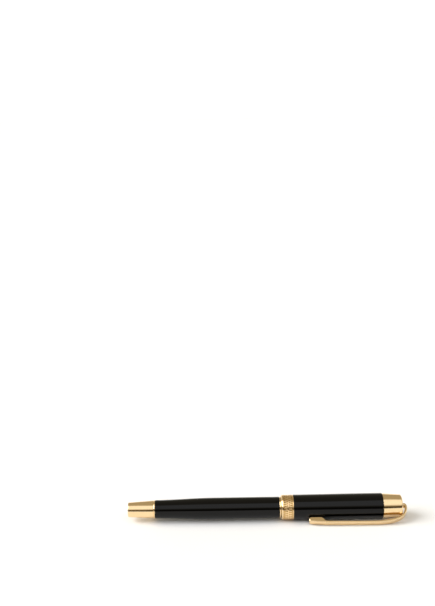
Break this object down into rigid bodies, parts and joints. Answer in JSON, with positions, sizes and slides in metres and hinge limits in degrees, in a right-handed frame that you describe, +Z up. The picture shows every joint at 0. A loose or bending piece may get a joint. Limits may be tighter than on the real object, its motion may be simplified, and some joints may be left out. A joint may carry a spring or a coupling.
{
  "type": "rollerball pen",
  "caption": "Capped rollerball pen lying on its side: black lacquered barrel and cap, gold ferrule, engraved centre band, conical crown and arched strap clip.",
  "frame": {"origin": "under the middle of the pen's bounding box, on the surface that it lies on", "axes": "+X along the pen from the tail to the crown of the cap, +Z up, clip towards -Y and down"},
  "size_m": [0.138, 0.0154, 0.0124],
  "materials": {
    "gold_plating": "polished",
    "black_lacquer": "gloss",
    "black_resin": "gloss",
    "brass": "satin",
    "seal_rubber": "matte",
    "spring_steel": "satin",
    "nickel_silver": "gloss",
    "carbide": "polished",
    "refill_plastic": "satin",
    "ink_fibre": "matte",
    "liner_plastic": "satin"
  },
  "bodies": {
    "section": {"grip_section": "black_resin", "nose_cone": "gold_plating", "section_nipple": "brass", "section_seal": "seal_rubber"},
    "clutch_ring": {"clutch_ring": "spring_steel"},
    "cap": {"cap_tube": "black_lacquer", "centre_band": "gold_plating", "inner_cap": "liner_plastic", "cap_bush": "brass", "crown_stud": "spring_steel", "crown": "gold_plating"},
    "clip": {"clip": "gold_plating"},
    "trim_ring": {"trim_ring": "gold_plating"},
    "barrel": {"barrel_tube": "black_lacquer", "barrel_bush": "brass", "tail_ferrule": "gold_plating", "spring_seat": "liner_plastic", "refill_spring": "spring_steel"},
    "refill": {"refill_tube": "refill_plastic", "refill_plug": "refill_plastic", "refill_wick": "ink_fibre", "refill_holder": "refill_plastic", "refill_tip": "nickel_silver"},
    "writing_ball": {"writing_ball": "carbide"}
  },
  "joints": [
    {"name": "cap_swivel", "type": "hinge", "parent": "section", "child": "clutch_ring", "pos_m": [0.016, 0.00153, 0.00622], "axis": [1, 0, 0], "continuous": true},
    {"name": "cap_pull", "type": "slide", "parent": "clutch_ring", "child": "cap", "axis": [1, 0, 0], "range_m": [0, 0.06]},
    {"name": "clip_flex", "type": "hinge", "parent": "cap", "child": "clip", "pos_m": [0.06535, 0.00153, 0.00622], "axis": [0, -0.5034, 0.864], "range_deg": [0, 3], "stiffness_Nm_per_rad": 8},
    {"name": "barrel_turn", "type": "hinge", "parent": "section", "child": "trim_ring", "pos_m": [0.006, 0.00153, 0.00622], "axis": [-1, 0, 0], "range_deg": [0, 1548]},
    {"name": "barrel_unscrew", "type": "slide", "parent": "trim_ring", "child": "barrel", "axis": [-1, 0, 0], "range_m": [0, 0.0044]},
    {"name": "refill_cushion", "type": "slide", "parent": "section", "child": "refill", "axis": [-1, 0, 0], "range_m": [0, 0.0008], "stiffness_N_per_m": 500, "deforming": ["refill_spring"]},
    {"name": "ball_roll", "type": "hinge", "parent": "refill", "child": "writing_ball", "pos_m": [0.04905, 0.00153, 0.00622], "axis": [0, 1, 0], "continuous": true}
  ],
  "couplings": [
    {"joint": "barrel_unscrew", "follows": "barrel_turn", "m_per_rad": 0.00015915}
  ]
}
